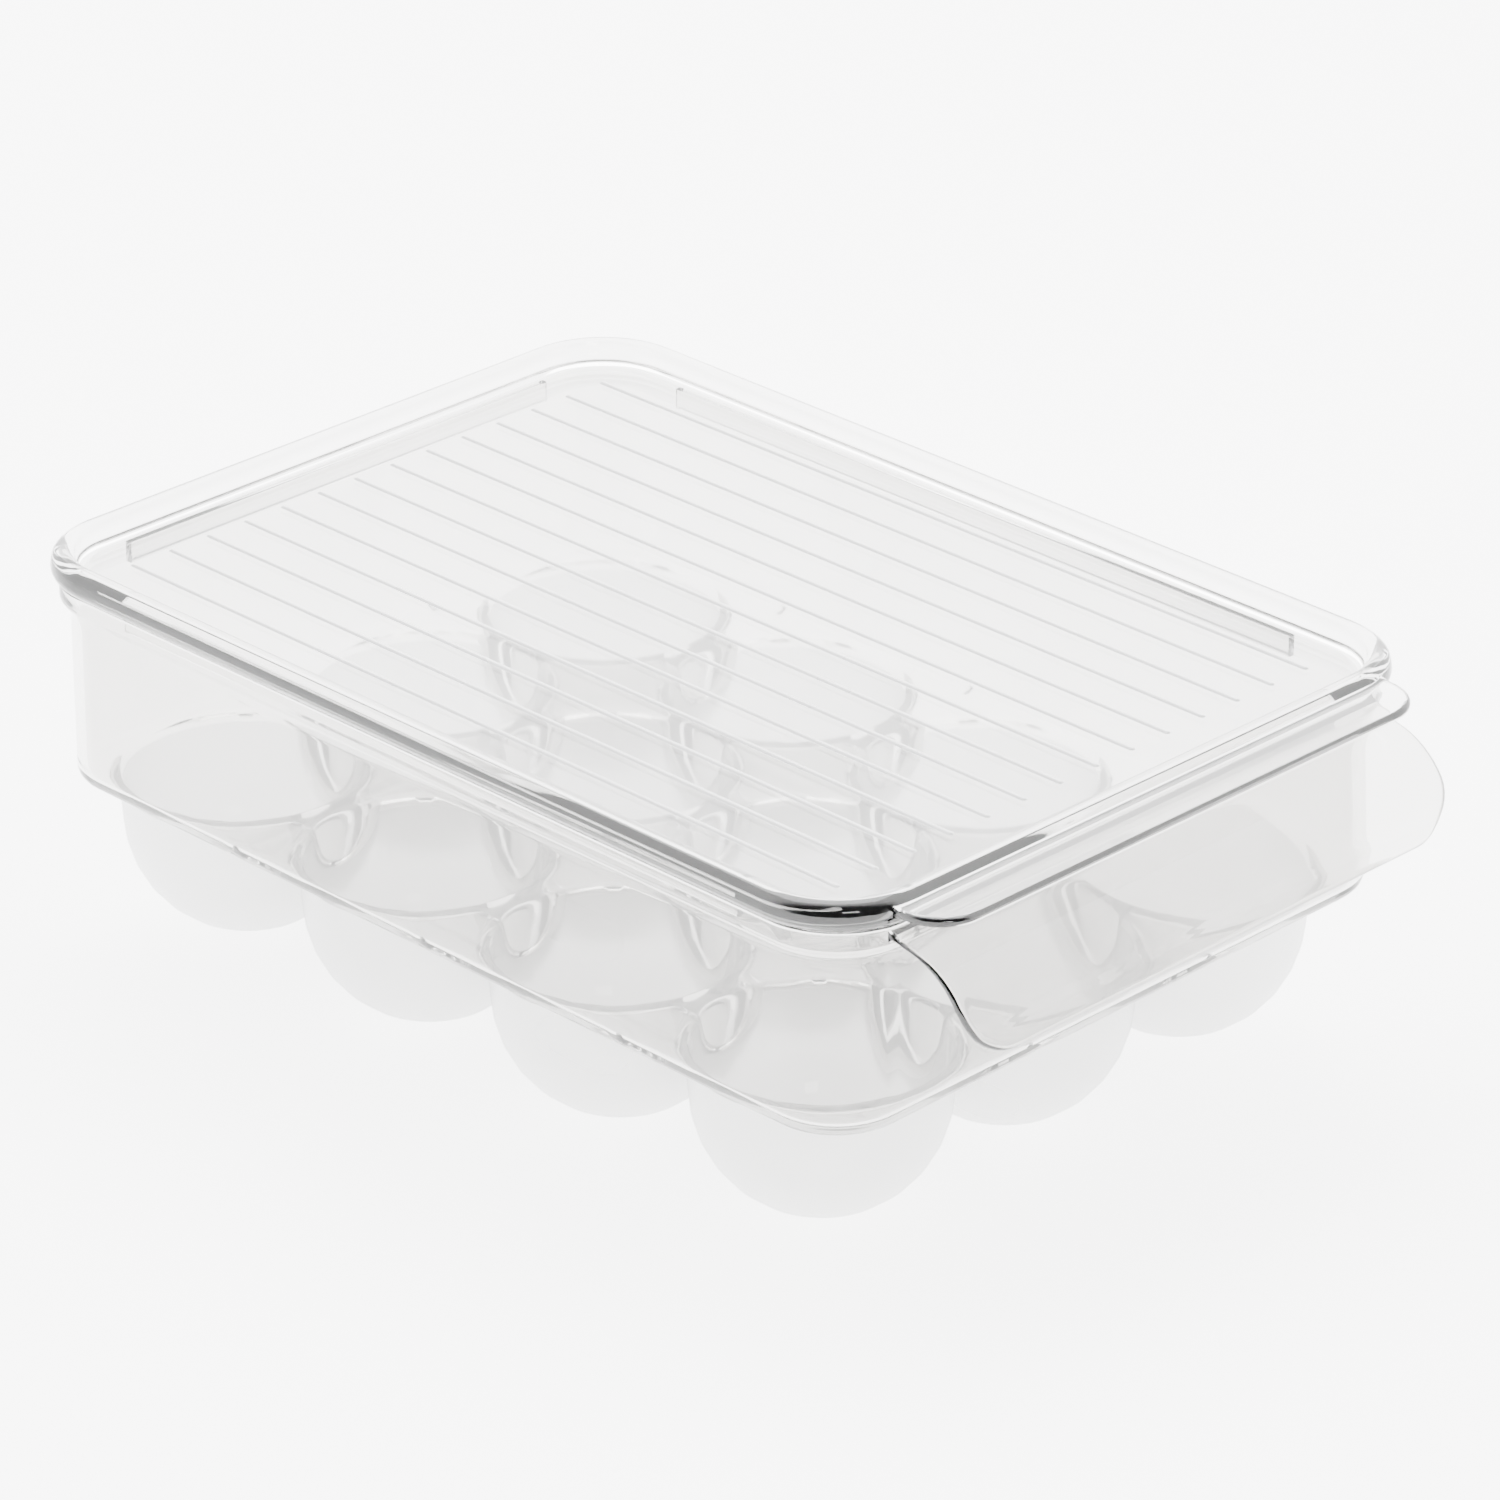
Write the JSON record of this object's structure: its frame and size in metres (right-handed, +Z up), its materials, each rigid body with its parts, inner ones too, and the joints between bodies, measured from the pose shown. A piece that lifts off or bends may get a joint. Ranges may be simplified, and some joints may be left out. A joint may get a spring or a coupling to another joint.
{
  "type": "lidded egg holder tray",
  "caption": "Clear tray of round-bottomed egg cups with a curved pull handle in front and a ribbed lift-off lid.",
  "frame": {"origin": "on the standing plane, under the middle of the whole object's box", "axes": "+Z up, X across the tray (short side), Y along the tray with the pull handle at -Y"},
  "size_m": [0.1656, 0.252, 0.0835],
  "materials": {
    "clear_tray": "clear glossy styrene",
    "clear_cups": "clear styrene with a faintly frosted outside",
    "clear_lid": "clear glossy styrene"
  },
  "bodies": {
    "tray": {"tray_wall": "clear_tray", "egg_cup_1_1": "clear_cups", "egg_cup_1_2": "clear_cups", "egg_cup_1_3": "clear_cups", "egg_cup_2_1": "clear_cups", "egg_cup_2_2": "clear_cups", "egg_cup_2_3": "clear_cups", "egg_cup_3_1": "clear_cups", "egg_cup_3_2": "clear_cups", "egg_cup_3_3": "clear_cups", "egg_cup_4_1": "clear_cups", "egg_cup_4_2": "clear_cups", "egg_cup_4_3": "clear_cups", "pull_handle": "clear_tray"},
    "lid": {"lid": "clear_lid", "lid_flanges": "clear_lid"}
  },
  "joints": [
    {"name": "lid_lift", "type": "slide", "parent": "tray", "child": "lid", "axis": [0, 0, 1], "range_m": [0, 0.12]}
  ]
}
